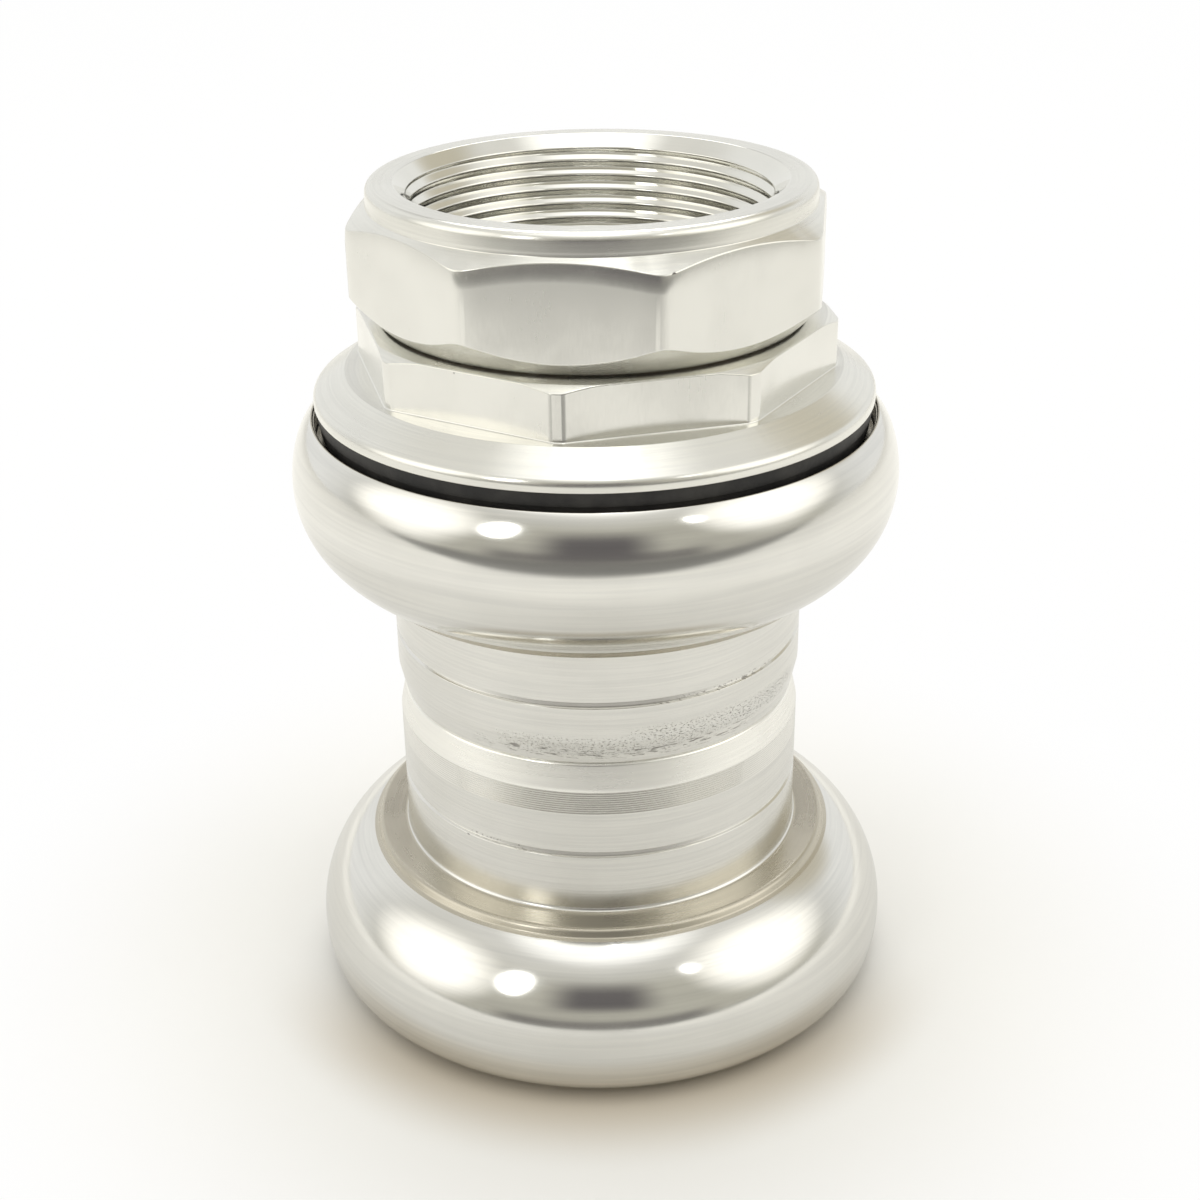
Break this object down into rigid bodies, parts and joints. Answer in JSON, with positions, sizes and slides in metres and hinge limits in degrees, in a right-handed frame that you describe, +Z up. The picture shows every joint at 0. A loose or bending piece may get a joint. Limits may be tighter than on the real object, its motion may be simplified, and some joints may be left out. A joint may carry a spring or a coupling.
{
  "type": "bicycle headset",
  "caption": "Threaded bicycle headset: octagonal lock nut, adjusting race with dust flange, pressed cups with cartridge bearings and a crown race, stacked on the steerer axis.",
  "frame": {"origin": "on the steerer axis, in the plane that the crown race stands on", "axes": "+Z up along the steerer axis, from the crown race towards the lock nut; -Y towards the viewer of the picture"},
  "size_m": [0.0444, 0.0444, 0.0616],
  "materials": {
    "polished_aluminium": "turned and polished, with fine lathe lines on the skirts",
    "satin_aluminium": "satin, brushed along the flats",
    "bearing_steel": "ground and polished bearing steel",
    "washer_steel": "dull stamped steel",
    "black_rubber": "matt moulded rubber",
    "cage_plastic": "moulded nylon"
  },
  "bodies": {
    "cups": {"upper_cup": "polished_aluminium", "lower_cup": "polished_aluminium", "upper_outer_ring": "bearing_steel", "lower_outer_ring": "bearing_steel", "upper_mouth_shield": "black_rubber", "upper_inner_shield": "black_rubber", "lower_mouth_shield": "black_rubber", "lower_inner_shield": "black_rubber"},
    "steering_top": {"adjusting_race": "satin_aluminium", "dust_seal": "black_rubber", "keyed_washer": "washer_steel", "lock_nut": "satin_aluminium", "upper_inner_ring": "bearing_steel"},
    "upper_ball_row": {"upper_balls": "bearing_steel", "upper_cage": "cage_plastic"},
    "steering_foot": {"crown_race": "bearing_steel", "crown_race_seal": "black_rubber", "lower_inner_ring": "bearing_steel"},
    "lower_ball_row": {"lower_balls": "bearing_steel", "lower_cage": "cage_plastic"}
  },
  "joints": [
    {"name": "top_turn", "type": "hinge", "parent": "cups", "child": "steering_top", "pos_m": [0, 0, 0.0405], "axis": [0, 0, 1], "continuous": true},
    {"name": "upper_ball_run", "type": "hinge", "parent": "cups", "child": "upper_ball_row", "pos_m": [0, 0, 0.0405], "axis": [0, 0, 1], "continuous": true},
    {"name": "foot_turn", "type": "hinge", "parent": "cups", "child": "steering_foot", "pos_m": [0, 0, 0.0051], "axis": [0, 0, 1], "continuous": true},
    {"name": "lower_ball_run", "type": "hinge", "parent": "cups", "child": "lower_ball_row", "pos_m": [0, 0, 0.0051], "axis": [0, 0, 1], "continuous": true}
  ],
  "couplings": [
    {"joint": "upper_ball_run", "follows": "top_turn", "ratio": 0.46},
    {"joint": "lower_ball_run", "follows": "foot_turn", "ratio": 0.46}
  ]
}
